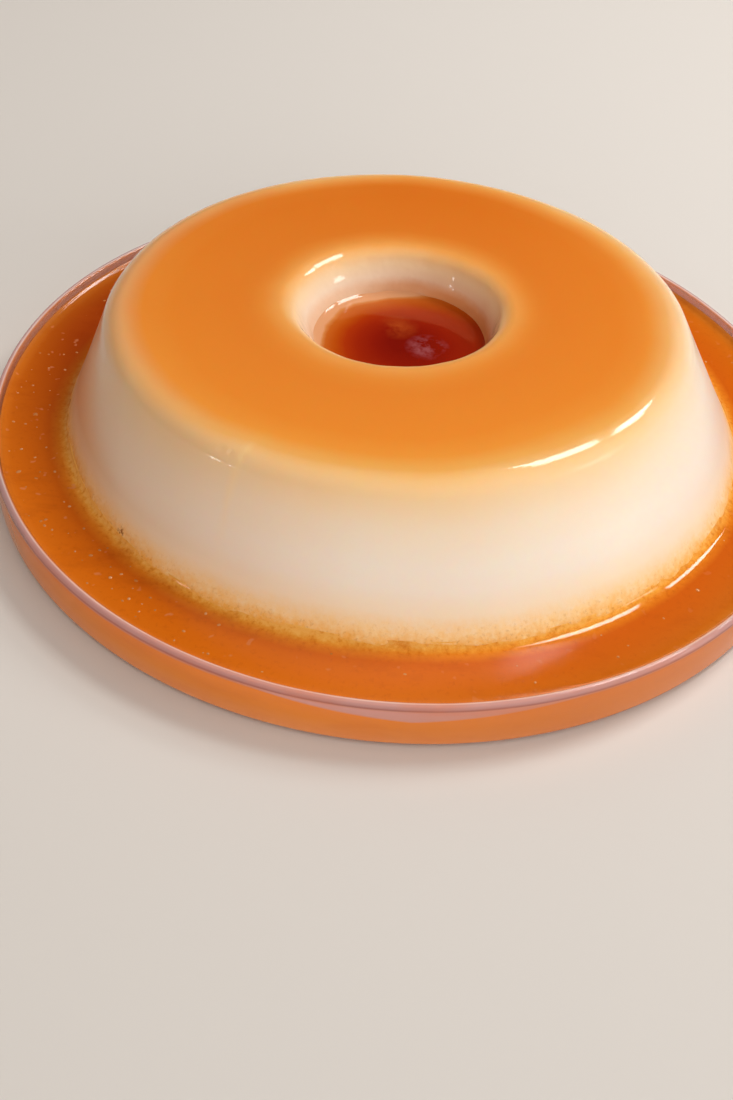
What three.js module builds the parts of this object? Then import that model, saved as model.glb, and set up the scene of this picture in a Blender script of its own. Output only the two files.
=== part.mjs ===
// A ring-shaped caramel flan, turned out on a round clear glass plate that holds its caramel syrup.
// Millimetres, +Z up. The origin is the centre of the plate's flat underside.

import * as THREE from 'three';
import { mergeVertices } from 'three/addons/utils/BufferGeometryUtils.js';

// Plate: a flat floor, a low upright wall and a rounded rim.
const PLATE_RADIUS = 134.1;
const PLATE_HEIGHT = 16.1;
const PLATE_WALL = 2.66;
const PLATE_FLOOR = 3;
const PLATE_OUTER_CORNER = 2.2;
const PLATE_INNER_CORNER = 8;

// Syrup levels above the table, and how far the syrup climbs what it touches.
const POOL_LEVEL = 11.7;
const WELL_LEVEL = 39.3;
const CLIMB_HEIGHT = 0.9;
const CLIMB_WIDTH = 3.2;
const CLIMB_MIDDLE = { width: CLIMB_WIDTH / 2, height: CLIMB_HEIGHT / 4 };

// Custard ring: a wide foot, a sloping side, a rounded shoulder and a hole that narrows downwards.
const FLAN_HEIGHT = 50.2;
const FOOT_RADIUS = 114.4;
const FOOT_BEVEL = 1.2;
const SIDE_BEND_RADIUS = 110.4;
const SIDE_BEND_HEIGHT = 9.5;
const SHOULDER_CENTRE_RADIUS = 84.5;
const SHOULDER_ROUND = 8;
const SHOULDER_SWEEP = THREE.MathUtils.degToRad(64);
const LIP_CENTRE_RADIUS = 37.5;
const LIP_ROUND = 6;
const LIP_SWEEP = THREE.MathUtils.degToRad(64);
const HOLE_BEND_RADIUS = 23.8;
const HOLE_BEND_HEIGHT = 36.5;
const HOLE_BASE_RADIUS = 19;

// How the soft ring settled: its foot is a little off the plate's centre, its top leans and tilts.
const FOOT_SHIFT = new THREE.Vector2(0.3, -0.6);
const TOP_LEAN = new THREE.Vector2(-5, -0.4);
const TOP_TILT = new THREE.Vector2(0.0219, -0.0099);
const FOOT_UNEVENNESS = 1.1;
const TOP_UNEVENNESS = 0.5;
const HOLE_UNEVENNESS = 0.35;

// Swells round the turn, each by its share of the unevenness, its count of swells and its phase.
const SIDE_SWELLS = [
  { share: 0.6, count: 2, phase: -6.7 },
  { share: 0.25, count: 3, phase: 0.9 },
  { share: 0.15, count: 7, phase: 2.1 },
];
const HOLE_SWELLS = [
  { share: 0.6, count: 2, phase: 0.5 },
  { share: 0.4, count: 3, phase: -1 },
];

// The air gap between pieces, how finely curves are stepped, and how close corners are joined.
const GAP = 0.3;
const SEGMENTS = 80;
const ROUND_STEPS = 6;
const PLATE_CORNER_STEPS = 4;
const SIDE_STEPS = 7;
const POOL_CONTACT_STEPS = 3;
const WELL_CONTACT_STEPS = 5;
const HALVINGS = 40;
const JOIN_DISTANCE = 1e-4;

const FLAN_BASE = PLATE_FLOOR + GAP;
const FLAN_TOP = FLAN_BASE + FLAN_HEIGHT;
const { lerp, smoothstep } = THREE.MathUtils;

const point = (radius, height) => new THREE.Vector2(radius, height);

// Points of a round stretch of profile, its angle counted from straight up towards the outside.
function roundStretch(centre, radius, fromAngle, toAngle, steps = ROUND_STEPS) {
  const points = [];
  for (let i = 0; i <= steps; i += 1) {
    const angle = lerp(fromAngle, toAngle, i / steps);
    points.push(point(centre.x + radius * Math.sin(angle), centre.y + radius * Math.cos(angle)));
  }
  return points;
}

// The outer side of the custard, from its foot up to where the shoulder starts.
const shoulderCentre = point(SHOULDER_CENTRE_RADIUS, FLAN_TOP - SHOULDER_ROUND);
const shoulder = roundStretch(shoulderCentre, SHOULDER_ROUND, SHOULDER_SWEEP, 0);
const sideCurve = new THREE.QuadraticBezierCurve(
  point(FOOT_RADIUS, FLAN_BASE + FOOT_BEVEL),
  point(SIDE_BEND_RADIUS, SIDE_BEND_HEIGHT),
  shoulder[0],
);

// The wall of the hole, from the rounded lip down to the plate.
const lipCentre = point(LIP_CENTRE_RADIUS, FLAN_TOP - LIP_ROUND);
const lip = roundStretch(lipCentre, LIP_ROUND, 0, -LIP_SWEEP);
const holeCurve = new THREE.QuadraticBezierCurve(
  lip[lip.length - 1],
  point(HOLE_BEND_RADIUS, HOLE_BEND_HEIGHT),
  point(HOLE_BASE_RADIUS, FLAN_BASE),
);

// The radius of a profile curve at a height, found by halving, for a curve that rises or falls steadily.
function radiusAt(curve, height) {
  const rising = curve.getPoint(1).y > curve.getPoint(0).y;
  let low = 0;
  let high = 1;
  for (let i = 0; i < HALVINGS; i += 1) {
    const middle = (low + high) / 2;
    const below = curve.getPoint(middle).y < height;
    if (below === rising) {
      low = middle;
    } else {
      high = middle;
    }
  }
  return curve.getPoint(low).x;
}

// Points along a profile curve at even steps between two heights.
function stretchBetween(curve, fromHeight, toHeight, steps, offset) {
  const points = [];
  for (let i = 0; i <= steps; i += 1) {
    const height = lerp(fromHeight, toHeight, i / steps);
    points.push(point(radiusAt(curve, height) + offset, height));
  }
  return points;
}

function swellAt(swells, angle) {
  let total = 0;
  for (const { share, count, phase } of swells) {
    total += share * Math.cos(count * angle + phase);
  }
  return total;
}

// The outer wall swells and dips a little round its turn, most at the foot.
function outerUnevenness(angle, height) {
  const amount = lerp(FOOT_UNEVENNESS, TOP_UNEVENNESS, smoothstep(height, POOL_LEVEL, FLAN_TOP));
  return amount * swellAt(SIDE_SWELLS, angle);
}

function holeUnevenness(angle) {
  return HOLE_UNEVENNESS * swellAt(HOLE_SWELLS, angle);
}

// Moves a point of the ideal ring to where the settled custard has it.
function settle(position) {
  const radius = Math.hypot(position.x, position.y);
  const angle = Math.atan2(position.y, position.x);
  const outside = smoothstep(radius, LIP_CENTRE_RADIUS, SHOULDER_CENTRE_RADIUS);
  const inside = (1 - outside) * smoothstep(radius, 0, HOLE_BASE_RADIUS / 2);
  const swell = outside * outerUnevenness(angle, position.z) + inside * holeUnevenness(angle);
  const lean = (position.z - POOL_LEVEL) / (FLAN_TOP - POOL_LEVEL);
  const tiltStart = lerp(WELL_LEVEL + CLIMB_HEIGHT, POOL_LEVEL + CLIMB_HEIGHT, outside);
  const tilt = smoothstep(position.z, tiltStart, FLAN_TOP);
  return new THREE.Vector3(
    position.x + swell * Math.cos(angle) + FOOT_SHIFT.x + TOP_LEAN.x * lean,
    position.y + swell * Math.sin(angle) + FOOT_SHIFT.y + TOP_LEAN.y * lean,
    position.z + tilt * (TOP_TILT.x * position.x + TOP_TILT.y * position.y),
  );
}

// A closed solid turned from a profile, each corner then moved by a rule where one is given.
function turned(profile, move) {
  const raw = new THREE.LatheGeometry(profile, SEGMENTS);
  raw.deleteAttribute('normal');
  raw.deleteAttribute('uv');
  const geometry = mergeVertices(raw, JOIN_DISTANCE);
  geometry.rotateX(Math.PI / 2);
  if (move) {
    const positions = geometry.getAttribute('position');
    const corner = new THREE.Vector3();
    for (let i = 0; i < positions.count; i += 1) {
      corner.fromBufferAttribute(positions, i);
      const moved = move(corner);
      positions.setXYZ(i, moved.x, moved.y, moved.z);
    }
  }
  geometry.computeVertexNormals();
  return geometry;
}

function solid(name, geometry, material) {
  const mesh = new THREE.Mesh(geometry, material);
  mesh.name = name;
  return mesh;
}

function plate() {
  const inner = PLATE_RADIUS - PLATE_WALL;
  const rimRound = PLATE_WALL / 2;
  const outerCorner = point(PLATE_RADIUS - PLATE_OUTER_CORNER, PLATE_OUTER_CORNER);
  const innerCorner = point(inner - PLATE_INNER_CORNER, PLATE_FLOOR + PLATE_INNER_CORNER);
  const rimCentre = point(PLATE_RADIUS - rimRound, PLATE_HEIGHT - rimRound);
  const profile = [
    point(0, 0),
    ...roundStretch(outerCorner, PLATE_OUTER_CORNER, Math.PI, Math.PI / 2, PLATE_CORNER_STEPS),
    ...roundStretch(rimCentre, rimRound, Math.PI / 2, -Math.PI / 2),
    ...roundStretch(innerCorner, PLATE_INNER_CORNER, Math.PI / 2, Math.PI),
    point(0, PLATE_FLOOR),
  ];
  const glass = new THREE.MeshStandardMaterial({
    color: 0xe6d6d4,
    roughness: 0.05,
    metalness: 0,
    transparent: true,
    opacity: 0.35,
  });
  return solid('plate', turned(profile), glass);
}

function flan() {
  const foot = [
    point(HOLE_BASE_RADIUS, FLAN_BASE),
    point(FOOT_RADIUS - FOOT_BEVEL, FLAN_BASE),
  ];
  const side = sideCurve.getPoints(SIDE_STEPS);
  const hole = holeCurve.getPoints(SIDE_STEPS);
  const profile = [...foot, ...side.slice(0, -1), ...shoulder, ...lip.slice(0, -1), ...hole];
  const custard = new THREE.MeshStandardMaterial({ color: 0xefb070, roughness: 0.3, metalness: 0 });
  return solid('flan', turned(profile, settle), custard);
}

// The syrup round the foot follows the custard on its inside and the plate on its outside.
function syrupPool() {
  const inner = PLATE_RADIUS - PLATE_WALL - GAP;
  const corner = PLATE_INNER_CORNER - GAP;
  const cornerCentre = point(inner - corner, PLATE_FLOOR + PLATE_INNER_CORNER);
  const edgeTop = POOL_LEVEL + CLIMB_HEIGHT;
  const footTop = FLAN_BASE + FOOT_BEVEL;
  const custardSide = stretchBetween(sideCurve, edgeTop, footTop, POOL_CONTACT_STEPS, GAP);
  const profile = [
    ...custardSide,
    point(FOOT_RADIUS, FLAN_BASE),
    ...roundStretch(cornerCentre, corner, Math.PI, Math.PI / 2),
    point(inner, edgeTop),
    point(inner - CLIMB_MIDDLE.width, POOL_LEVEL + CLIMB_MIDDLE.height),
    point(inner - CLIMB_WIDTH, POOL_LEVEL),
    point(custardSide[0].x + CLIMB_WIDTH, POOL_LEVEL),
    point(custardSide[0].x + CLIMB_MIDDLE.width, POOL_LEVEL + CLIMB_MIDDLE.height),
    custardSide[0].clone(),
  ];
  const blendStart = FOOT_RADIUS + GAP + FOOT_UNEVENNESS;
  const blendEnd = cornerCentre.x;
  const follow = (position) => {
    const radius = Math.hypot(position.x, position.y);
    const free = smoothstep(radius, blendStart, blendEnd);
    return settle(position).lerp(position, free);
  };
  const syrup = new THREE.MeshStandardMaterial({ color: 0xc86410, roughness: 0.1, metalness: 0 });
  return solid('syrup_pool', turned(profile, follow), syrup);
}

// The syrup that fills the hole.
function syrupWell() {
  const edgeTop = WELL_LEVEL + CLIMB_HEIGHT;
  const wall = stretchBetween(holeCurve, FLAN_BASE, edgeTop, WELL_CONTACT_STEPS, -GAP);
  const edge = wall[wall.length - 1];
  const profile = [
    point(0, FLAN_BASE),
    ...wall,
    point(edge.x - CLIMB_MIDDLE.width, WELL_LEVEL + CLIMB_MIDDLE.height),
    point(edge.x - CLIMB_WIDTH, WELL_LEVEL),
    point(0, WELL_LEVEL),
  ];
  const syrup = new THREE.MeshStandardMaterial({ color: 0x7a1604, roughness: 0.08, metalness: 0 });
  return solid('syrup_well', turned(profile, settle), syrup);
}

const dessert = new THREE.Group();
dessert.add(plate(), flan(), syrupPool(), syrupWell());

export default dessert;
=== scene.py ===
"""A ring-shaped caramel flan on a clear glass plate with its syrup, dressed around the CAD frame.
Sizes are in millimetres and become metres as each mesh is made. Inside a material, places are metres."""

import math

import bpy
import numpy as np
from mathutils import Matrix, Vector


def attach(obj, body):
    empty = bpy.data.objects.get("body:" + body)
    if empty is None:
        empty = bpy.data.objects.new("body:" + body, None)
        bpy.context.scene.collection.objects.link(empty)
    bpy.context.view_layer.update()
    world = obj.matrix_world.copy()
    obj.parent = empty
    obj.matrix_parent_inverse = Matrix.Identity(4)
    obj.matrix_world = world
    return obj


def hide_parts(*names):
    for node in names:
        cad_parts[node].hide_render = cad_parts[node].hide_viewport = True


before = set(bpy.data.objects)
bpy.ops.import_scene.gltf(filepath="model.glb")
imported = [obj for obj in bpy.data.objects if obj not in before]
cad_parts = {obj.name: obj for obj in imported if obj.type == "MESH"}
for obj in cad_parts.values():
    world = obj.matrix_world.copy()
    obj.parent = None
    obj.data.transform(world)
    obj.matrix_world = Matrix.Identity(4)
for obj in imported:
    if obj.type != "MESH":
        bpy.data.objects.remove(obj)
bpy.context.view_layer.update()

MM = 0.001
BODY = "root"
QUARTER = math.pi / 2

# Plate, as in the frame.
PLATE_RADIUS = 134.1
PLATE_HEIGHT = 16.1
PLATE_WALL = 2.66
PLATE_FLOOR = 3.0
PLATE_OUTER_CORNER = 2.2
PLATE_INNER_CORNER = 8.0
PLATE_INNER = PLATE_RADIUS - PLATE_WALL

# Custard ring, as in the frame.
FLAN_BASE = 3.3
FLAN_TOP = 53.5
FOOT_RADIUS = 114.4
FOOT_BEVEL = 1.2
SIDE_BEND = (110.4, 9.5)
SHOULDER_CENTRE_RADIUS = 84.5
SHOULDER_ROUND = 8.0
SHOULDER_SWEEP = math.radians(64)
LIP_CENTRE_RADIUS = 37.5
LIP_ROUND = 6.0
LIP_SWEEP = math.radians(64)
HOLE_BEND = (23.8, 36.5)
HOLE_BASE_RADIUS = 19.0

# How the soft ring settled, as in the frame.
FOOT_SHIFT = (0.3, -0.6)
TOP_LEAN = (-5.0, -0.4)
TOP_TILT = (0.0219, -0.0099)
FOOT_UNEVENNESS = 1.1
TOP_UNEVENNESS = 0.5
HOLE_UNEVENNESS = 0.35

# Syrup levels, as in the frame.
POOL_LEVEL = 11.7
WELL_LEVEL = 39.3
CLIMB_HEIGHT = 0.9

# The finer edge of the syrup: how high it climbs what it touches, and how fast it falls off.
POOL_CLIMB = 2.2
POOL_CLIMB_WIDTH = 1.0
GLASS_CLIMB = 1.6
GLASS_CLIMB_WIDTH = 1.1
WELL_CLIMB = 1.2
WELL_CLIMB_WIDTH = 1.3
POOL_CORNER = 4.0
POOL_INSET = 4.0

# How far the syrup reaches into the glass and into the custard, so that no air gap shows.
REACH = 0.15
SUNK = 0.8

# The custard's underside lies on the glass, and its finer top stays just under the frame's box.
FLAN_UNDERSIDE = 2.95
UNDERSIDE_START = 30.0
UNDERSIDE_RINGS = 12
TOP_DROP = 0.02

# Unevenness that only the finer meshes have, each by its depth, its wavelength and its seed.
BROAD_SWELLS = (0.12, 34, 5)
FOOT_RIPPLES = (0.16, 7, 8)
LIP_WAVES = (0.14, 8, 14)
POOL_RIPPLES = (0.04, 22, 21)
WELL_RIPPLES = (0.06, 14, 33)

# Length of the drawn glass profile that its colour follows, from the plate's underside up its wall.
GLASS_LENGTH = 26.0

SEGMENTS = 360
TOP_STEPS = 40

# Small dimples on the left of the shoulder, each by its angle and its reach, and the drip below them.
DIMPLES = ((-2.08, 1.8), (-2.045, 1.2), (-2.0, 1.6))
DRIP_ANGLE = -2.05
DRIP_WIDTH = 0.022
CRUMB_PLACE = (-78.7, -75.3, 14.4)
CRUMB_REACH = 1.9

# Bubbles on the outer syrup: most lie on the left, and a few are big.
BUBBLE_COUNT = 110
BUBBLE_SEED = 41
LEFT_SHARE = 0.6
LEFT_ANGLES = (-190, -110)
BUBBLE_START = 114
BUBBLE_SIZES = (0.22, 0.5)
BIG_SHARE = 0.08
BIG_TIMES = 1.5

# Wet drops at the foot, each by its place, the way it faces, its half length and its half width.
LEFTWARD = (-0.43, -0.74, 0.52)
UPWARD = (0.23, -0.19, 0.95)
DROP_HEIGHT = 0.28
FOOT_DROPS = (
    ((-50.9, -94.5, 14.5), LEFTWARD, 1.5, 0.7),
    ((-48.9, -95.9, 13.8), LEFTWARD, 1.2, 0.8),
    ((-47.3, -96.4, 14.1), LEFTWARD, 0.8, 0.5),
    ((-52.3, -94.0, 13.7), LEFTWARD, 0.7, 0.5),
    ((45.7, -92.4, 14.7), UPWARD, 3.9, 1.1),
)

# Area lights, each by its name, azimuth, elevation, distance, width, height, power, colour and
# whether gloss shows it. Azimuth 0 is +X and 90 is +Y, and distances are metres.
WHITE = (1, 1, 1)
SOFT_WHITE = (1, 0.98, 0.97)
PANE_WHITE = (1, 0.985, 0.98)
SOFTBOXES = (
    ("window_lower_pane", 40, 43.5, 1.3, 0.32, 0.22, 3.8, PANE_WHITE, True),
    ("window_upper_pane", 40, 59, 1.3, 0.42, 0.29, 6.4, PANE_WHITE, True),
    ("side_window", -30, 14, 1.4, 0.8, 0.4, 1.7, SOFT_WHITE, False),
    ("low_window", -12, 21, 1.4, 0.34, 0.12, 1.3, WHITE, True),
    ("left_glint", -148, 8, 1.4, 0.13, 0.08, 0.45, WHITE, True),
    ("front_fill", -70, 18, 1.6, 1.6, 1.0, 10.5, SOFT_WHITE, False),
    ("left_fill", -165, 20, 1.6, 1.2, 0.8, 1.2, (1, 0.52, 0.22), False),
    ("back_fill", 110, 30, 1.6, 1.4, 0.8, 2.4, (1, 0.94, 0.88), False),
)

# The photo's camera: its place, its yaw, pitch and roll in degrees, and its lens.
CAMERA_PLACE = (0, -352.07, 275.08)
CAMERA_TURN = (-1.403, -43.129, 4.205)
CAMERA_LENS = 42.56
CAMERA_SENSOR = 36


# Profiles

def bezier(start, middle, end, steps):
    t = np.linspace(0, 1, steps + 1)[:, None]
    start, middle, end = (np.array(p, float) for p in (start, middle, end))
    return (1 - t) ** 2 * start + 2 * t * (1 - t) * middle + t**2 * end


def round_stretch(centre, radius, from_angle, to_angle, steps):
    """Points of an arc, its angle counted from straight up towards the outside."""
    angles = np.linspace(from_angle, to_angle, steps + 1)
    return np.column_stack([centre[0] + radius * np.sin(angles), centre[1] + radius * np.cos(angles)])


def profile_lengths(profile):
    """How far along a profile each of its points lies."""
    steps = np.hypot(*np.diff(profile, axis=0).T)
    return np.concatenate([[0], np.cumsum(steps)])


SHOULDER = round_stretch(
    (SHOULDER_CENTRE_RADIUS, FLAN_TOP - SHOULDER_ROUND), SHOULDER_ROUND, SHOULDER_SWEEP, 0, 20
)
SHOULDER_MIDDLE = SHOULDER[9]
SIDE = bezier((FOOT_RADIUS, FLAN_BASE + FOOT_BEVEL), SIDE_BEND, SHOULDER[0], 60)
LIP = round_stretch((LIP_CENTRE_RADIUS, FLAN_TOP - LIP_ROUND), LIP_ROUND, 0, -LIP_SWEEP, 16)
HOLE = bezier(LIP[-1], HOLE_BEND, (HOLE_BASE_RADIUS, FLAN_BASE), 40)
TOP_RADII = np.linspace(SHOULDER_CENTRE_RADIUS, LIP_CENTRE_RADIUS, TOP_STEPS + 1)[:-1]

# The drawn profile runs from the foot up the side, over the top and down into the hole. The
# shoulder's start and the lip's start are where they meet the top.
FLAN_PROFILE = np.vstack([
    SIDE[:-1],
    SHOULDER[:-1],
    np.column_stack([TOP_RADII, np.full(TOP_STEPS, FLAN_TOP)]),
    LIP[:-1],
    HOLE,
])
LENGTHS = profile_lengths(FLAN_PROFILE)
WHOLE_LENGTH = float(LENGTHS[-1])
SHOULDER_START = float(LENGTHS[len(SIDE) + len(SHOULDER) - 2])
LIP_START = SHOULDER_START + SHOULDER_CENTRE_RADIUS - LIP_CENTRE_RADIUS

# Where the syrup in the hole stands along the profile.
WATERLINE = LIP_START + 15.0


def side_radius(height):
    return np.interp(height, SIDE[:, 1], SIDE[:, 0])


def hole_radius(height):
    return np.interp(height, HOLE[::-1, 1], HOLE[::-1, 0])


# Unevenness

def smooth(value, low, high):
    t = np.clip((value - low) / (high - low), 0, 1)
    return t * t * (3 - 2 * t)


def mix(a, b, t):
    return a + (b - a) * t


def settle(points):
    """Moves points of the ideal ring to where the settled custard has them."""
    x, y, z = points.T
    radius = np.hypot(x, y)
    angle = np.arctan2(y, x)
    outside = smooth(radius, LIP_CENTRE_RADIUS, SHOULDER_CENTRE_RADIUS)
    inside = (1 - outside) * smooth(radius, 0, HOLE_BASE_RADIUS / 2)
    amount = mix(FOOT_UNEVENNESS, TOP_UNEVENNESS, smooth(z, POOL_LEVEL, FLAN_TOP))
    wide = 0.6 * np.cos(2 * (angle - 3.35)) + 0.25 * np.cos(3 * angle + 0.9)
    outer_swell = amount * (wide + 0.15 * np.cos(7 * angle + 2.1))
    hole_swell = HOLE_UNEVENNESS * (0.6 * np.cos(2 * angle + 0.5) + 0.4 * np.cos(3 * angle - 1))
    swell = outside * outer_swell + inside * hole_swell
    lean = (z - POOL_LEVEL) / (FLAN_TOP - POOL_LEVEL)
    tilt_start = mix(WELL_LEVEL + CLIMB_HEIGHT, POOL_LEVEL + CLIMB_HEIGHT, outside)
    tilt = smooth(z, tilt_start, FLAN_TOP)
    return np.column_stack([
        x + swell * np.cos(angle) + FOOT_SHIFT[0] + TOP_LEAN[0] * lean,
        y + swell * np.sin(angle) + FOOT_SHIFT[1] + TOP_LEAN[1] * lean,
        z + tilt * (TOP_TILT[0] * x + TOP_TILT[1] * y),
    ])


def shoulder_place(angle):
    """Where the settled shoulder is at an angle."""
    radius, height = SHOULDER_MIDDLE
    return settle(np.array([[radius * math.cos(angle), radius * math.sin(angle), height]]))[0]


def waves(points, kind, count=7):
    """A smooth, seeded, uneven field about as deep as its kind says, both ways from none."""
    depth, wavelength, seed = kind
    draw = np.random.default_rng(seed)
    total = np.zeros(len(points))
    for _ in range(count):
        direction = draw.normal(size=3)
        direction /= np.linalg.norm(direction)
        size = wavelength * draw.uniform(0.7, 1.5)
        total += np.sin(points @ direction * (2 * math.pi / size) + draw.uniform(0, 2 * math.pi))
    return depth * (total / math.sqrt(count * 2))


# Meshes

def turned(profile, closed):
    """Vertices, faces and profile index of a profile turned round Z. An open one ends on the axis."""
    profile = np.asarray(profile, float)
    angles = np.arange(SEGMENTS) * (2 * math.pi / SEGMENTS)
    vertices = []
    index_of = []
    rings = []
    for j, (radius, height) in enumerate(profile):
        first = len(vertices)
        if radius < 1e-6:
            vertices.append((0, 0, height))
            index_of.append(j)
            rings.append([first] * SEGMENTS)
            continue
        for angle in angles:
            vertices.append((radius * math.cos(angle), radius * math.sin(angle), height))
            index_of.append(j)
        rings.append(list(range(first, first + SEGMENTS)))
    faces = []
    count = len(profile)
    for j in range(count if closed else count - 1):
        low = rings[j]
        high = rings[(j + 1) % count]
        for i in range(SEGMENTS):
            k = (i + 1) % SEGMENTS
            corners = [low[i], low[k], high[k], high[i]]
            faces.append([c for n, c in enumerate(corners) if c != corners[n - 1]])
    return np.array(vertices), faces, np.array(index_of)


def add_mesh(name, vertices, faces):
    mesh = bpy.data.meshes.new(name)
    mesh.from_pydata((np.asarray(vertices) * MM).tolist(), [], faces)
    mesh.validate()
    mesh.shade_smooth()
    obj = bpy.data.objects.new(name, mesh)
    bpy.context.scene.collection.objects.link(obj)
    return obj


def add_values(obj, name, values):
    """One number a vertex, read by the material."""
    attribute = obj.data.attributes.new(name, "FLOAT", "POINT")
    attribute.data.foreach_set("value", np.asarray(values, np.float32))


def finish_piece(obj, material, node):
    obj.data.materials.append(material)
    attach(obj, BODY)
    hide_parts(node)


# Materials

def srgb(red, green, blue):
    """A colour as seen on a screen, 0 to 255, as linear RGBA."""
    values = [c / 255 for c in (red, green, blue)]
    return tuple(c / 12.92 if c <= 0.04045 else ((c + 0.055) / 1.055) ** 2.4 for c in values) + (1,)


def grey(value):
    return (value, value, value, 1)


class Shader:
    """A material with one Principled shader, and short calls to add nodes to it."""

    def __init__(self, name):
        self.material = bpy.data.materials.new(name)
        self.material.use_nodes = True
        self.tree = self.material.node_tree
        self.principled = self.tree.nodes["Principled BSDF"]

    def set(self, **values):
        for name, value in values.items():
            self.principled.inputs[name.replace("_", " ")].default_value = value

    def link(self, output, name):
        self.tree.links.new(output, self.principled.inputs[name])

    def bump(self, height, distance, strength):
        node = self.node("ShaderNodeBump", Strength=strength, Distance=distance, Height=height)
        self.link(node.outputs["Normal"], "Normal")

    def feed(self, value, socket):
        if isinstance(value, bpy.types.NodeSocket):
            self.tree.links.new(value, socket)
        else:
            socket.default_value = value

    def node(self, kind, settings=None, **inputs):
        node = self.tree.nodes.new(kind)
        for name, value in (settings or {}).items():
            setattr(node, name, value)
        for name, value in inputs.items():
            self.feed(value, node.inputs[name.replace("_", " ")])
        return node

    def attribute(self, name):
        return self.node("ShaderNodeAttribute", {"attribute_name": name}).outputs["Fac"]

    def place(self):
        return self.node("ShaderNodeTexCoord").outputs["Object"]

    def coordinates(self):
        return self.node("ShaderNodeSeparateXYZ", Vector=self.place()).outputs

    def stretched(self, *scale):
        return self.node("ShaderNodeMapping", Vector=self.place(), Scale=scale).outputs["Vector"]

    def noise(self, scale, detail, roughness, vector=None):
        if vector is None:
            vector = self.place()
        node = self.node(
            "ShaderNodeTexNoise", Vector=vector, Scale=scale, Detail=detail, Roughness=roughness
        )
        return node.outputs["Fac"]

    def math(self, operation, *values):
        node = self.node("ShaderNodeMath", {"operation": operation})
        for value, socket in zip(values, node.inputs):
            self.feed(value, socket)
        return node.outputs[0]

    def plus(self, first, *others):
        for other in others:
            first = self.math("ADD", first, other)
        return first

    def less(self, a, b):
        return self.math("SUBTRACT", a, b)

    def times(self, first, *others):
        for other in others:
            first = self.math("MULTIPLY", first, other)
        return first

    def around(self, noise, amount):
        """A noise moved to lie both ways from none, and made stronger."""
        return self.times(self.less(noise, 0.5), amount)

    def map(self, value, low, high, new_low=0.0, new_high=1.0):
        node = self.node("ShaderNodeMapRange", Value=value)
        numbers = {"From Min": low, "From Max": high, "To Min": new_low, "To Max": new_high}
        for name, number in numbers.items():
            node.inputs[name].default_value = number
        return node.outputs["Result"]

    def near(self, value, centre, reach):
        """One where the value is at the centre, none from the reach on."""
        away = self.math("ABSOLUTE", self.less(value, centre))
        return self.map(away, 0.0, reach, 1.0, 0.0)

    def spot(self, centre, reach):
        """One at a place, given in millimetres, none from the reach on."""
        away = self.node("ShaderNodeVectorMath", {"operation": "DISTANCE"})
        self.feed(self.place(), away.inputs[0])
        self.feed([float(c) * MM for c in centre], away.inputs[1])
        return self.map(away.outputs["Value"], 0.0, reach * MM, 1.0, 0.0)

    def ramp(self, value, stops, whole=1.0):
        """The colour for a value, from stops that lie between 0 and the whole."""
        node = self.node("ShaderNodeValToRGB", Fac=self.math("DIVIDE", value, whole))
        elements = node.color_ramp.elements
        while len(elements) > 1:
            elements.remove(elements[-1])
        elements[0].position = stops[0][0] / whole
        elements[0].color = stops[0][1]
        for position, colour in stops[1:]:
            elements.new(position / whole).color = colour
        return node.outputs["Color"]

    def blend(self, factor, a, b):
        node = self.node("ShaderNodeMix", {"data_type": "RGBA"})
        for value, index in ((factor, 0), (a, 6), (b, 7)):
            self.feed(value, node.inputs[index])
        return node.outputs[2]


# Custard: each stop is a length along the drawn profile and what the custard has there.
CREAM = srgb(249, 234, 216)
CUSTARD_COLOURS = (
    (0, srgb(226, 124, 28)),
    (6, srgb(240, 150, 48)),
    (10, srgb(250, 186, 92)),
    (14, srgb(253, 213, 150)),
    (19, srgb(251, 228, 196)),
    (26, CREAM),
    (SHOULDER_START - 27, CREAM),
    (SHOULDER_START - 17, srgb(249, 226, 198)),
    (SHOULDER_START - 9, srgb(249, 214, 168)),
    (SHOULDER_START - 3, srgb(249, 200, 136)),
    (SHOULDER_START + 1, srgb(248, 180, 92)),
    (SHOULDER_START + 7, srgb(247, 159, 62)),
    (SHOULDER_START + 15, srgb(244, 148, 51)),
    (LIP_START - 12, srgb(241, 144, 51)),
    (LIP_START - 5, srgb(241, 150, 58)),
    (LIP_START + 1, srgb(242, 166, 84)),
    (LIP_START + 4, srgb(244, 189, 124)),
    (LIP_START + 8, srgb(247, 216, 174)),
    (LIP_START + 12, srgb(247, 224, 197)),
    (LIP_START + 22, srgb(247, 220, 190)),
)
TOP_PART_STOPS = (
    (SHOULDER_START - 2, grey(0)),
    (SHOULDER_START + 8, grey(1)),
    (LIP_START - 8, grey(1)),
    (LIP_START, grey(0)),
)
STAINED_HOLE = (
    (LIP_START + 6, grey(0)),
    (LIP_START + 12, grey(0.6)),
    (LIP_START + 18, grey(1)),
)

# Light doesn't spread under the skin beside the syrup, so that no dark line shows there.
CUSTARD_SPREAD = (
    (11, grey(0)),
    (24, grey(0.5)),
    (LIP_START + 1, grey(0.5)),
    (LIP_START + 8, grey(0)),
)
DULLEST = 0.26
CUSTARD_ROUGHNESS = (
    (0, grey(DULLEST)),
    (SHOULDER_START - 20, grey(DULLEST)),
    (SHOULDER_START - 9, grey(0.1)),
    (SHOULDER_START, grey(0.05)),
    (LIP_START, grey(0.05)),
    (LIP_START + 24, grey(0.09)),
)

# Painted shade on the wall, each by where along X it starts and is full, how strong it is and its
# colour: darker and warmer on the left, painted orange light from the syrup at the far left, and darker
# at the far right.
PAINTED_WALL_SHADE = (
    (-0.01, -0.1, 0.85, srgb(218, 186, 150)),
    (-0.08, -0.105, 0.55, srgb(214, 146, 88)),
    (0.065, 0.1, 0.6, srgb(228, 210, 192)),
)


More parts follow.
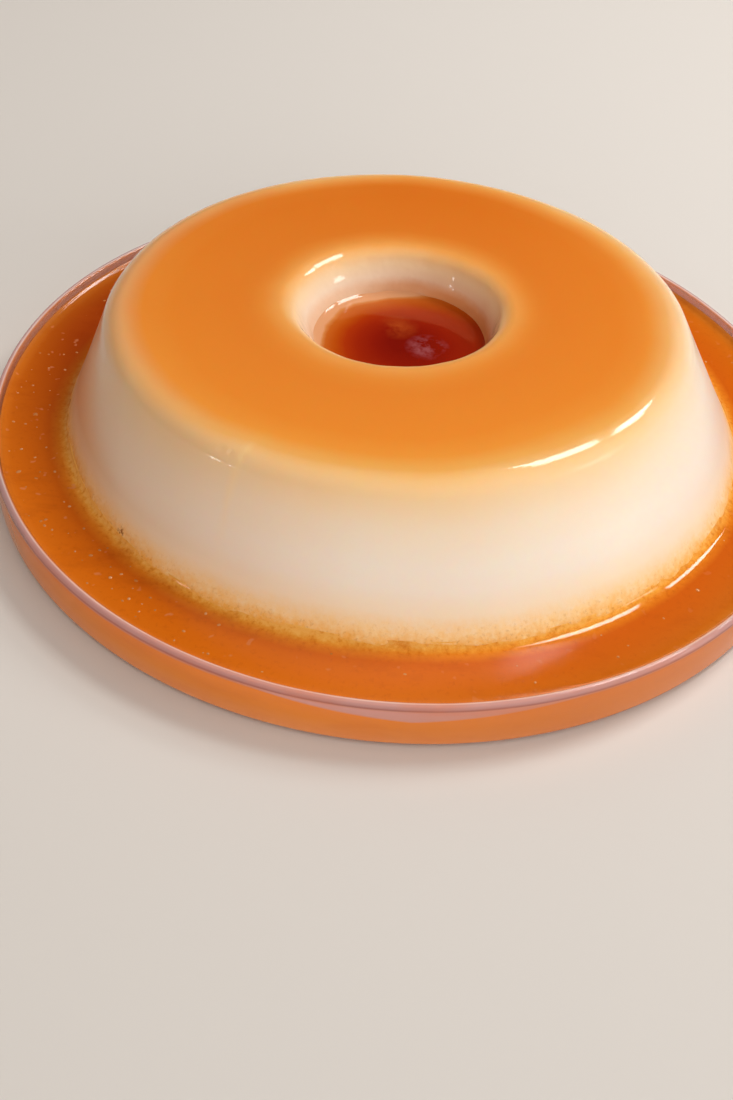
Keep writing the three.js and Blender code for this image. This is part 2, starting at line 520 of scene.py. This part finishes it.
def wandering(shader, along, place, fine, broad, foot):
    """Where colours lie along the profile: ragged at the foot, and lower at the far left and right; at
    the far left the lower orange is painted orange light from the syrup.
    """
    tongues = shader.around(shader.noise(120, 3, 0.6), 7.0)
    ragged = shader.times(shader.plus(shader.around(fine, 12.0), tongues), foot)
    # At the far left the orange reaches lower as painted orange light from the syrup; at the far right
    # it reaches lower too.
    left_painted_light = shader.map(place["X"], -0.045, -0.1, 0.0, 6.5)
    right_lowering = shader.map(place["X"], 0.07, 0.1, 0.0, 3.0)
    under = shader.map(along, SHOULDER_START - 30, SHOULDER_START - 12)
    over = shader.map(along, SHOULDER_START + 12, SHOULDER_START + 4)
    side_lowering = shader.times(shader.plus(left_painted_light, right_lowering), shader.times(under, over))
    return shader.plus(along, shader.around(broad, 5.0), ragged, side_lowering)


def darken_top_back(shader, colour, shifted, place):
    """The top is darker and redder towards the back, in patches."""
    top_part = shader.ramp(shifted, TOP_PART_STOPS, WHOLE_LENGTH)
    darker_back = shader.map(place["Y"], -0.08, 0.09)
    patch = shader.times(darker_back, shader.map(shader.noise(9, 2, 0.4), 0.3, 0.7, 0.75, 1.0))
    return shader.blend(shader.times(top_part, patch), colour, srgb(223, 114, 24))


def stain_hole(shader, colour, along, shifted, place):
    """The wall of the hole is stained above the syrup, most on the right."""
    stain = shader.ramp(shifted, STAINED_HOLE, WHOLE_LENGTH)
    rightward = shader.plus(place["X"], shader.times(place["Y"], 0.35))
    side = shader.map(rightward, -0.012, 0.026, 0.06, 0.72)
    colour = shader.blend(shader.times(stain, side), colour, srgb(230, 152, 86))
    soaked = shader.plus(along, shader.around(shader.noise(140, 3, 0.6), 3.0))
    wet_edge = shader.map(soaked, WATERLINE - 3.0, WATERLINE)
    wet_side = shader.map(rightward, -0.012, 0.02, 0.26, 0.72)
    return shader.blend(shader.times(wet_edge, wet_side), colour, srgb(228, 148, 78))


def paint_wall_shade(shader, colour, along, place):
    """Painted shade: the wall is darker and warmer to the left, with painted orange light from the syrup
    at the far left, and duller at the far right.
    """
    below_top = shader.map(along, SHOULDER_START + 6, SHOULDER_START - 8)
    wall = shader.times(shader.map(along, 10.0, 22.0), below_top)
    for start, full, strength, tint in PAINTED_WALL_SHADE:
        side = shader.map(place["X"], start, full, 0.0, strength)
        colour = shader.blend(shader.times(side, wall), colour, tint)
    return colour


def trace_drip(shader, along, place, broad):
    """One where the faint drip runs down from the shoulder."""
    angle = shader.math("ARCTAN2", place["Y"], place["X"])
    track = shader.near(shader.plus(angle, shader.around(broad, 0.05)), DRIP_ANGLE, DRIP_WIDTH)
    fading = shader.map(along, 22.0, SHOULDER_START - 6)
    start = shader.map(along, SHOULDER_START + 2, SHOULDER_START - 2)
    return shader.times(track, fading, start)


def strew_foot(shader, colour, along):
    """Brown grains and one dark crumb lie in the stained band at the foot."""
    grit = shader.noise(950, 3, 0.6)
    band = shader.times(shader.map(along, 17.0, 11.0), shader.map(along, 3.0, 8.0))
    grains = shader.times(shader.map(grit, 0.56, 0.72, 0.0, 0.4), band)
    colour = shader.blend(grains, colour, srgb(190, 112, 40))
    crumb = shader.times(shader.spot(CRUMB_PLACE, CRUMB_REACH), shader.map(grit, 0.42, 0.55), 2.0)
    return shader.blend(shader.math("MINIMUM", crumb, 0.85), colour, srgb(130, 70, 18))


def custard_roughness(shader, along, place):
    """Wet on top and duller on the wall, with no second streak under the right of the shoulder."""
    dull = shader.ramp(along, CUSTARD_ROUGHNESS, WHOLE_LENGTH)
    right = shader.map(place["X"], 0.0, 0.03)
    right_arc = shader.times(shader.near(along, SHOULDER_START - 8.5, 4.0), right)
    dull = shader.plus(dull, shader.times(right_arc, 0.3))
    return shader.math("MINIMUM", dull, DULLEST)


def custard_relief(shader, along, fine, foot, drip):
    """Pits at the foot, dents in the hole, dimples on the shoulder and the drip."""
    pits = shader.times(fine, shader.map(foot, 0.0, 1.0, 0.1, 1.0))
    in_hole = shader.map(along, LIP_START + 1, LIP_START + 5, 0.0, 2.0)
    height = shader.plus(pits, shader.times(shader.noise(150, 2, 0.5), in_hole))
    for angle, reach in DIMPLES:
        dimple = shader.spot(shoulder_place(angle), reach)
        height = shader.less(height, shader.times(dimple, 0.8))
    return shader.plus(height, shader.times(drip, 0.5))


def custard_material():
    shader = Shader("custard")
    along = shader.attribute("along")
    place = shader.coordinates()
    fine = shader.noise(520, 4, 0.62)
    broad = shader.noise(28, 3, 0.5)
    foot = shader.map(along, 20.0, 9.0)
    shifted = wandering(shader, along, place, fine, broad, foot)
    drip = trace_drip(shader, along, place, broad)
    colour = shader.ramp(shifted, CUSTARD_COLOURS, WHOLE_LENGTH)
    colour = darken_top_back(shader, colour, shifted, place)
    colour = stain_hole(shader, colour, along, shifted, place)
    colour = paint_wall_shade(shader, colour, along, place)
    colour = shader.blend(shader.times(drip, 0.4), colour, srgb(252, 214, 150))
    colour = strew_foot(shader, colour, along)
    shader.link(colour, "Base Color")
    shader.link(shader.ramp(shifted, CUSTARD_SPREAD, WHOLE_LENGTH), "Subsurface Weight")
    shader.set(Subsurface_Radius=(1.0, 0.55, 0.3), Subsurface_Scale=0.004, IOR=1.42)
    shader.link(custard_roughness(shader, along, place), "Roughness")
    relief = custard_relief(shader, along, fine, foot, drip)
    shader.bump(relief, distance=0.0006, strength=0.3)
    return shader.material


# Outer syrup: each stop is a share of the way from the custard to the glass.
POOL_COLOURS = (
    (0.0, srgb(248, 184, 90)),
    (0.06, srgb(240, 160, 60)),
    (0.14, srgb(226, 128, 30)),
    (0.28, srgb(205, 93, 10)),
    (0.6, srgb(206, 98, 11)),
    (0.85, srgb(209, 108, 18)),
    (0.96, srgb(214, 124, 36)),
    (1.0, srgb(222, 140, 60)),
)


def pool_material():
    shader = Shader("syrup_pool")
    across = shader.attribute("across")
    place = shader.coordinates()
    streaks = shader.noise(45, 5, 0.65, shader.stretched(1.0, 2.2, 1.0))
    grain = shader.noise(620, 4, 0.65)
    speck = shader.noise(300, 1, 0.5)
    wander = shader.around(shader.noise(14, 3, 0.5), 0.14)
    ragged = shader.times(shader.around(grain, 0.3), shader.map(across, 0.3, 0.0))
    colour = shader.ramp(shader.plus(across, wander, ragged), POOL_COLOURS)

    # It is darker at the back left, partly deeper syrup and partly painted shade, and painted light
    # brightens it at the front left, where the flan's shadow falls.
    back_left = shader.plus(shader.times(place["X"], -0.9), shader.times(place["Y"], 0.6))
    inside = shader.map(across, 1.0, 0.4, 0.35, 0.9)
    darker_back = shader.times(shader.map(back_left, 0.06, 0.13), inside)
    colour = shader.blend(darker_back, colour, srgb(142, 40, 0))
    front_left = shader.plus(shader.times(place["X"], -0.6), shader.times(place["Y"], -0.8))
    clear_of_foot = shader.map(across, 0.1, 0.4)
    painted_light = shader.times(shader.map(front_left, 0.05, 0.125, 0.0, 0.5), clear_of_foot)
    colour = shader.blend(painted_light, colour, srgb(240, 122, 14))

    # Dark streaks and grains and pale specks lie in it, most specks on the left.
    colour = shader.blend(shader.map(streaks, 0.5, 0.72, 0.0, 0.4), colour, srgb(180, 74, 6))
    colour = shader.blend(shader.map(grain, 0.55, 0.75, 0.0, 0.3), colour, srgb(178, 72, 8))
    on_left = shader.map(place["X"], 0.05, -0.05, 0.3, 1.0)
    specks = shader.times(shader.map(speck, 0.7, 0.76, 0.0, 0.5), on_left)
    colour = shader.blend(specks, colour, srgb(226, 142, 92))
    shader.link(colour, "Base Color")

    # It is glossiest where it climbs the custard and the glass.
    flat = shader.times(shader.map(across, 0.1, 0.24), shader.map(across, 1.0, 0.9))
    shader.link(shader.map(flat, 0.0, 1.0, 0.04, 0.16), "Roughness")
    shader.set(IOR=1.4)
    return shader.material


def bubble_material():
    shader = Shader("syrup_bubbles")
    tint = shader.map(shader.noise(90, 2, 0.5), 0.35, 0.65)
    shader.link(shader.blend(tint, srgb(232, 146, 66), srgb(242, 178, 118)), "Base Color")
    shader.link(shader.map(tint, 0.0, 1.0, 0.6, 0.85), "Alpha")
    shader.set(Roughness=0.03, IOR=1.6)
    return shader.material


# Syrup in the hole: each stop is a share of the way from the custard to the middle.
WELL_COLOURS = (
    (0.0, srgb(224, 160, 114)),
    (0.03, srgb(210, 130, 66)),
    (0.08, srgb(198, 98, 28)),
    (0.22, srgb(188, 78, 8)),
    (0.38, srgb(172, 50, 4)),
    (0.56, srgb(158, 36, 4)),
    (0.78, srgb(143, 24, 3)),
    (1.0, srgb(130, 16, 2)),
)
# The blots' reach, where the painted reflection lies, and where the rusty blot lies.
BLOT_REACH = 7.5
PAINTED_REFLECTION_PLACE = (6, -3.5, WELL_LEVEL)
RUSTY_BLOT = (-4, 6.5, WELL_LEVEL)


def well_material():
    shader = Shader("syrup_well")
    inward = shader.attribute("inward")
    place = shader.coordinates()
    wander = shader.around(shader.noise(90, 3, 0.5), 0.12)
    front_right = shader.plus(shader.times(place["X"], 0.8), shader.times(place["Y"], -0.6))
    shade = shader.map(front_right, -0.022, 0.022, -0.1, 0.45)
    colour = shader.ramp(shader.plus(inward, wander, shade), WELL_COLOURS)
    # A pale pinkish blot near the front right is a painted reflection on the syrup, and a rusty blot
    # lies further back.
    murk_and_reflection = shader.noise(95, 4, 0.6)
    painted_reflection = shader.math("MINIMUM", shader.times(shader.spot(PAINTED_REFLECTION_PLACE, BLOT_REACH), 1.6), 1.0)
    painted_reflection = shader.times(painted_reflection, shader.map(murk_and_reflection, 0.45, 0.6, 0.0, 0.75))
    colour = shader.blend(painted_reflection, colour, srgb(180, 106, 112))
    rusty = shader.times(shader.spot(RUSTY_BLOT, BLOT_REACH), shader.map(murk_and_reflection, 0.38, 0.56, 0.0, 0.8))
    colour = shader.blend(rusty, colour, srgb(186, 78, 26))
    shader.link(colour, "Base Color")
    shader.set(Roughness=0.05, IOR=1.4)
    return shader.material


# Glass: each stop is a length along the drawn profile, up the wall and over the rim.
GLASS_COLOURS = (
    (0, srgb(240, 168, 108)),
    (3, srgb(250, 156, 84)),
    (9, srgb(252, 146, 50)),
    (14.9, srgb(252, 142, 44)),
    (15.5, srgb(226, 148, 118)),
    (16.1, srgb(168, 110, 104)),
    (16.7, srgb(206, 160, 156)),
    (18.0, srgb(218, 174, 170)),
    # A painted highlight along the rim's top.
    (18.4, srgb(255, 230, 222)),
    (18.8, srgb(220, 140, 96)),
    (19.3, srgb(212, 116, 44)),
)
BAND_ALPHA = 0.82
GLASS_ALPHA = (
    (0, grey(0.45)),
    (3, grey(0.82)),
    (14.6, grey(0.78)),
    (16, grey(0.7)),
    (18.9, grey(0.7)),
    (19.6, grey(0.25)),
)


def glass_material():
    """Clear glass that takes on the syrup's colour low down and stays pinkish at the rim, with a painted
    highlight along the rim's top.
    """
    shader = Shader("plate_glass")
    along = shader.attribute("along")
    place = shader.coordinates()
    shifted = shader.plus(along, shader.around(shader.noise(30, 3, 0.5), 0.5))
    colour = shader.ramp(shifted, GLASS_COLOURS, GLASS_LENGTH)

    # At the front the syrup line lies lower in the wall, so a clear pinkish band shows under the rim.
    aside = shader.times(shader.math("ABSOLUTE", shader.less(place["X"], 0.01)), 90.0)
    line = shader.less(shader.times(place["Z"], 1000.0), aside)
    front = shader.times(shader.map(line, 10.0, 10.7), shader.map(place["Y"], -0.1, -0.115))
    below_rim = shader.map(along, 16.0, 15.2)
    band = shader.times(front, below_rim)
    colour = shader.blend(band, colour, srgb(218, 166, 160))

    # Level streaks run in the wall, and its right side is darker.
    streaks = shader.noise(50, 4, 0.6, shader.stretched(1.0, 1.0, 4.0))
    colour = shader.blend(shader.map(streaks, 0.45, 0.7, 0.0, 0.28), colour, srgb(232, 118, 48))
    rightward = shader.times(shader.map(place["X"], -0.02, 0.05, 0.0, 0.6), below_rim)
    colour = shader.blend(rightward, colour, srgb(214, 118, 50))
    shader.link(colour, "Base Color")
    alpha = shader.ramp(shifted, GLASS_ALPHA, GLASS_LENGTH)
    shader.link(shader.blend(band, alpha, grey(BAND_ALPHA)), "Alpha")
    shader.set(IOR=1.5, Roughness=0.05)
    return shader.material


# Pieces

def make_plate():
    rim = PLATE_WALL / 2
    flat = PLATE_RADIUS - PLATE_OUTER_CORNER
    inner_corner = (PLATE_INNER - PLATE_INNER_CORNER, PLATE_FLOOR + PLATE_INNER_CORNER)
    profile = np.vstack([
        [0, 0],
        round_stretch((flat, PLATE_OUTER_CORNER), PLATE_OUTER_CORNER, math.pi, QUARTER, 8),
        round_stretch((PLATE_RADIUS - rim, PLATE_HEIGHT - rim), rim, QUARTER, -QUARTER, 16),
        round_stretch(inner_corner, PLATE_INNER_CORNER, QUARTER, math.pi, 16),
        [0, PLATE_FLOOR],
    ])
    lengths = np.clip(profile_lengths(profile) - flat, 0, GLASS_LENGTH)
    vertices, faces, index = turned(profile, closed=False)
    obj = add_mesh("plate_glass", vertices, faces)
    add_values(obj, "along", lengths[index])
    finish_piece(obj, glass_material(), "plate")


def make_flan():
    underside = np.linspace(UNDERSIDE_START, FOOT_RADIUS - FOOT_BEVEL, UNDERSIDE_RINGS)
    profile = np.vstack([
        [HOLE_BASE_RADIUS, FLAN_UNDERSIDE],
        np.column_stack([underside, np.full(UNDERSIDE_RINGS, FLAN_UNDERSIDE)]),
        FLAN_PROFILE,
    ])
    lengths = np.concatenate([np.zeros(1 + UNDERSIDE_RINGS), LENGTHS])
    vertices, faces, index = turned(profile, closed=True)
    height = vertices[:, 2]
    radius = np.hypot(vertices[:, 0], vertices[:, 1])
    outward = vertices * (1, 1, 0) / radius[:, None]
    near_foot = smooth(height, 24, 12) * smooth(radius, 70, 90)
    swell = waves(vertices, BROAD_SWELLS) + near_foot * waves(vertices, FOOT_RIPPLES)
    swell *= (height > 4) & (radius > 60)
    lip = smooth(radius, 43, 38) * smooth(height, 36, 42)
    swell -= lip * (LIP_WAVES[0] + waves(vertices, LIP_WAVES))
    moved = settle(vertices) + outward * swell[:, None]
    moved[:, 2] -= TOP_DROP * smooth(height, 30, 44)
    obj = add_mesh("flan_body", moved, faces)
    add_values(obj, "along", lengths[index])
    finish_piece(obj, custard_material(), "flan")


def make_pool():
    custard_edge = POOL_LEVEL + POOL_CLIMB
    edge = side_radius(custard_edge)
    outer = PLATE_INNER + REACH
    floor = PLATE_FLOOR - REACH
    heights = np.linspace(FLAN_BASE + FOOT_BEVEL, custard_edge, 12)
    inner = np.column_stack([side_radius(heights) - SUNK, heights])
    steep = np.linspace(0, 1, 6)[:-1] ** 1.2
    distance = np.concatenate([steep, np.linspace(1, 6, 15), np.linspace(7.5, 14, 6)])
    fall = POOL_CLIMB * np.exp(-distance / POOL_CLIMB_WIDTH)
    near = np.column_stack([edge + distance, POOL_LEVEL + fall])
    back = np.linspace(6, 0, 13)
    rise = GLASS_CLIMB * np.exp(-back / GLASS_CLIMB_WIDTH)
    far = np.column_stack([PLATE_INNER - back, POOL_LEVEL + rise])
    corner = (outer - POOL_CORNER, floor + POOL_CORNER)
    profile = np.vstack([
        inner,
        near,
        far,
        [outer, POOL_LEVEL + GLASS_CLIMB],
        round_stretch(corner, POOL_CORNER, QUARTER, math.pi, 14),
        [FOOT_RADIUS - POOL_INSET, floor],
        [FOOT_RADIUS - POOL_INSET, FLAN_BASE],
    ])[::-1]
    vertices, faces, _ = turned(profile, closed=True)
    radius = np.hypot(vertices[:, 0], vertices[:, 1])
    free = smooth(radius, FOOT_RADIUS + 1.5, PLATE_INNER - PLATE_INNER_CORNER)[:, None]
    moved = mix(settle(vertices), vertices, free)
    top = smooth(vertices[:, 2], POOL_LEVEL - 0.5, POOL_LEVEL)
    moved[:, 2] += top * waves(vertices, POOL_RIPPLES)
    obj = add_mesh("caramel_pool", moved, faces)
    add_values(obj, "across", (radius - edge) / (PLATE_INNER - edge))
    finish_piece(obj, pool_material(), "syrup_pool")


def make_well():
    custard_edge = WELL_LEVEL + WELL_CLIMB
    edge = hole_radius(custard_edge)
    floor = PLATE_FLOOR - REACH
    heights = np.linspace(floor, custard_edge, 30)
    wall = np.column_stack([hole_radius(heights) + SUNK, heights])
    distance = np.concatenate([np.linspace(0, 6, 14), np.linspace(8, edge - 1, 10)])
    fall = WELL_CLIMB * np.exp(-distance / WELL_CLIMB_WIDTH)
    surface = np.column_stack([edge - distance, WELL_LEVEL + fall])
    profile = np.vstack([[0, floor], wall, surface, [0, WELL_LEVEL]])
    vertices, faces, _ = turned(profile, closed=False)
    moved = settle(vertices)
    top = smooth(vertices[:, 2], WELL_LEVEL - 0.5, WELL_LEVEL)
    moved[:, 2] += top * waves(vertices, WELL_RIPPLES)
    obj = add_mesh("caramel_well", moved, faces)
    add_values(obj, "inward", 1 - np.hypot(vertices[:, 0], vertices[:, 1]) / edge)
    finish_piece(obj, well_material(), "syrup_well")


def dome(centre, facing, axis, length, width, height, rings=4, sides=14):
    """A low rounded drop that faces one way and is longest along an axis, as vertices and faces."""
    normal = np.array(facing, float)
    normal /= np.linalg.norm(normal)
    long_way = axis - normal * (axis @ normal)
    long_way /= np.linalg.norm(long_way)
    short_way = np.cross(normal, long_way)
    vertices = [centre + normal * height]
    for ring in range(1, rings + 1):
        slope = QUARTER * ring / rings
        for side in range(sides):
            angle = 2 * math.pi * side / sides
            offset = math.cos(angle) * length * long_way + math.sin(angle) * width * short_way
            vertices.append(centre + math.sin(slope) * offset + math.cos(slope) * height * normal)
    faces = [(0, 1 + k, 1 + (k + 1) % sides) for k in range(sides)]
    for ring in range(rings - 1):
        low = 1 + ring * sides
        high = low + sides
        for k in range(sides):
            n = (k + 1) % sides
            faces.append((low + k, high + k, high + n, low + n))
    return vertices, faces


def make_bubbles():
    """Small bubbles on the outer syrup, most of them on the left, with a few drops at the foot."""
    draw = np.random.default_rng(BUBBLE_SEED)
    domes = []
    upright = np.array((0.0, 0.0, 1.0))
    for _ in range(BUBBLE_COUNT):
        if draw.random() < LEFT_SHARE:
            angle = math.radians(draw.uniform(*LEFT_ANGLES))
        else:
            angle = draw.uniform(-math.pi, math.pi)
        radius = draw.uniform(BUBBLE_START, PLATE_INNER - 2)
        size = draw.uniform(*BUBBLE_SIZES) * (BIG_TIMES if draw.random() < BIG_SHARE else 1)
        centre = np.array((radius * math.cos(angle), radius * math.sin(angle), POOL_LEVEL - 0.05))
        turn = draw.uniform(0, math.pi)
        axis = np.array((math.cos(turn), math.sin(turn), 0.0))
        domes.append(dome(centre, upright, axis, size * draw.uniform(1, 1.5), size, size * 0.5))
    for place, facing, length, width in FOOT_DROPS:
        centre = np.array(place)
        along_wall = np.array((-centre[1], centre[0], 0.0))
        domes.append(dome(centre, facing, along_wall, length, width, DROP_HEIGHT, rings=5))
    vertices = []
    faces = []
    for points, polygons in domes:
        first = len(vertices)
        vertices.extend(points)
        faces.extend([tuple(first + c for c in polygon) for polygon in polygons])
    obj = add_mesh("syrup_bubbles", vertices, faces)
    finish_piece(obj, bubble_material(), "syrup_pool")


# Stage, lights and camera, in metres

def make_floor():
    size = 3.0
    depth = -0.0003
    corners = [(-size, -size, depth), (size, -size, depth), (size, size, depth), (-size, size, depth)]
    mesh = bpy.data.meshes.new("floor")
    mesh.from_pydata(corners, [], [(0, 1, 2, 3)])
    floor = bpy.data.objects.new("floor", mesh)
    bpy.context.scene.collection.objects.link(floor)
    shader = Shader("floor")
    shader.set(Base_Color=(0.72, 0.68, 0.63, 1), Roughness=0.7, Specular_IOR_Level=0.2)

    # Far from the flan, where the lights no longer reach, the floor stays as pale as near it.
    away = shader.node("ShaderNodeVectorMath", {"operation": "LENGTH"})
    shader.feed(shader.place(), away.inputs[0])
    shader.set(Emission_Color=(1, 0.95, 0.89, 1))
    shader.link(shader.map(away.outputs["Value"], 0.5, 2.2, 0.0, 0.42), "Emission Strength")
    mesh.materials.append(shader.material)


def add_softbox(name, azimuth, elevation, distance, width, height, power, colour, glossy):
    """An area light aimed at the flan's middle."""
    light = bpy.data.lights.new(name, "AREA")
    light.shape = "RECTANGLE"
    light.size = width
    light.size_y = height
    light.energy = power
    light.color = colour
    a = math.radians(azimuth)
    e = math.radians(elevation)
    towards = Vector((math.cos(a) * math.cos(e), math.sin(a) * math.cos(e), math.sin(e)))
    obj = bpy.data.objects.new(name, light)
    obj.location = towards * distance + Vector((0, 0, 0.03))
    obj.rotation_euler = towards.to_track_quat("Z", "Y").to_euler()
    obj.visible_glossy = glossy
    bpy.context.scene.collection.objects.link(obj)


def add_ceiling():
    """Soft light from nearly straight above."""
    light = bpy.data.lights.new("ceiling", "SUN")
    light.energy = 0.91
    light.angle = math.radians(55)
    light.color = (1, 0.96, 0.92)
    obj = bpy.data.objects.new("ceiling", light)
    obj.rotation_euler = (math.radians(15), 0, math.radians(10))
    obj.visible_glossy = False
    bpy.context.scene.collection.objects.link(obj)


def make_room():
    """A room that is pale at the horizon and dark above it, so that the glossy top keeps its colour."""
    world = bpy.data.worlds.new("room")
    world.use_nodes = True
    tree = world.node_tree
    direction = tree.nodes.new("ShaderNodeTexCoord").outputs["Generated"]
    parts = tree.nodes.new("ShaderNodeSeparateXYZ")
    tree.links.new(direction, parts.inputs[0])
    rise = tree.nodes.new("ShaderNodeMapRange")
    for name, number in (("From Min", 0.06), ("From Max", 0.2), ("To Min", 0.5), ("To Max", 0.04)):
        rise.inputs[name].default_value = number
    tree.links.new(parts.outputs["Z"], rise.inputs["Value"])
    background = tree.nodes["Background"]
    background.inputs["Color"].default_value = (1, 0.92, 0.85, 1)
    tree.links.new(rise.outputs["Result"], background.inputs["Strength"])
    bpy.context.scene.world = world


def make_camera():
    yaw, pitch, roll = (math.radians(a) for a in CAMERA_TURN)
    level = math.cos(pitch)
    forward = Vector((math.sin(yaw) * level, math.cos(yaw) * level, math.sin(pitch)))
    level_right = forward.cross(Vector((0, 0, 1))).normalized()
    level_up = level_right.cross(forward)
    right = level_right * math.cos(roll) + level_up * math.sin(roll)
    up = level_up * math.cos(roll) - level_right * math.sin(roll)
    data = bpy.data.cameras.new("camera")
    data.sensor_width = CAMERA_SENSOR
    data.lens = CAMERA_LENS
    data.clip_start = 0.01
    camera = bpy.data.objects.new("camera", data)
    rotation = Matrix((right, up, -forward)).transposed().to_4x4()
    camera.matrix_world = Matrix.Translation(Vector(CAMERA_PLACE) * MM) @ rotation
    bpy.context.scene.collection.objects.link(camera)
    bpy.context.scene.camera = camera


make_camera()
for softbox in SOFTBOXES:
    add_softbox(*softbox)
add_ceiling()
make_room()
make_floor()
make_plate()
make_flan()
make_pool()
make_bubbles()
make_well()

bpy.context.scene.view_settings.view_transform = "Standard"
